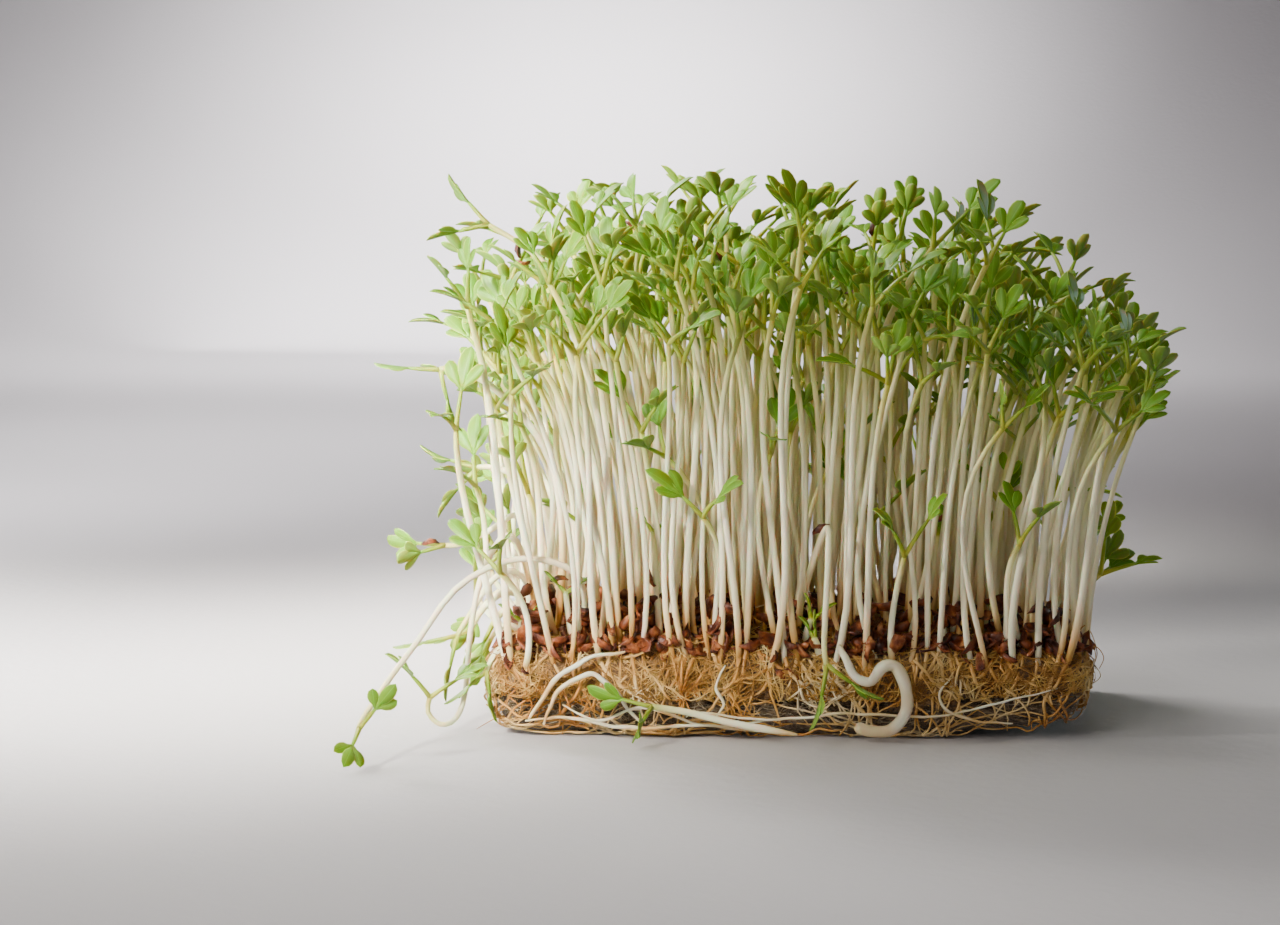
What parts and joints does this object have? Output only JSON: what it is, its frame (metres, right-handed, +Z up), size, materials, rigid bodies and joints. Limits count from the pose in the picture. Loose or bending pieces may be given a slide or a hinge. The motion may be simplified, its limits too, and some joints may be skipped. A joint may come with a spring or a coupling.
{
  "type": "garden cress seedlings on a fibre growing mat",
  "caption": "Block of fibre growing mat with a root felt and a dense stand of pale stems topped with small three-lobed green cotyledons, some drooping over the sides.",
  "frame": {"origin": "middle of the mat's underside, on the surface that it lies on", "axes": "+X along the mat's long side to the right, +Y to the back, +Z up; the front is -Y"},
  "size_m": [0.1109, 0.0959, 0.0778],
  "materials": {
    "mat_fibre": "matte",
    "root_felt": "matte",
    "seed_coat": "satin",
    "seedling": "satin",
    "pale_stem": "satin"
  },
  "bodies": {
    "root": {"fibre_mat": "mat_fibre", "root_felt": "root_felt", "curled_stem_front": "pale_stem", "drooping_seedling_long": "seedling", "drooping_seedling_left": "seedling", "curled_seedling_left": "seedling", "hanging_seedling_left": "seedling", "level_seedling_left": "seedling", "level_seedling_back": "seedling", "capped_seedling_left": "seedling", "arching_seedling_left": "seedling", "tall_seedling_left": "seedling", "tall_seedling_middle": "seedling", "leaning_seedling_right": "seedling", "small_seedling_right": "seedling", "hanging_seedling_front": "seedling", "fallen_seedling_front": "seedling", "tuft_01": "seedling", "tuft_02": "seedling", "tuft_03": "seedling", "tuft_04": "seedling", "tuft_05": "seedling", "tuft_06": "seedling", "tuft_07": "seedling", "tuft_08": "seedling", "tuft_09": "seedling", "tuft_10": "seedling", "tuft_11": "seedling", "tuft_12": "seedling", "tuft_13": "seedling", "tuft_14": "seedling", "tuft_15": "seedling", "tuft_16": "seedling", "tuft_17": "seedling", "tuft_18": "seedling", "tuft_19": "seedling", "tuft_20": "seedling", "tuft_21": "seedling", "tuft_22": "seedling", "tuft_23": "seedling", "seed_coats_1": "seed_coat", "seed_coats_2": "seed_coat", "seed_coats_3": "seed_coat", "seed_coats_4": "seed_coat", "seed_coats_5": "seed_coat", "seed_coats_6": "seed_coat", "seed_coats_7": "seed_coat"}
  },
  "joints": []
}
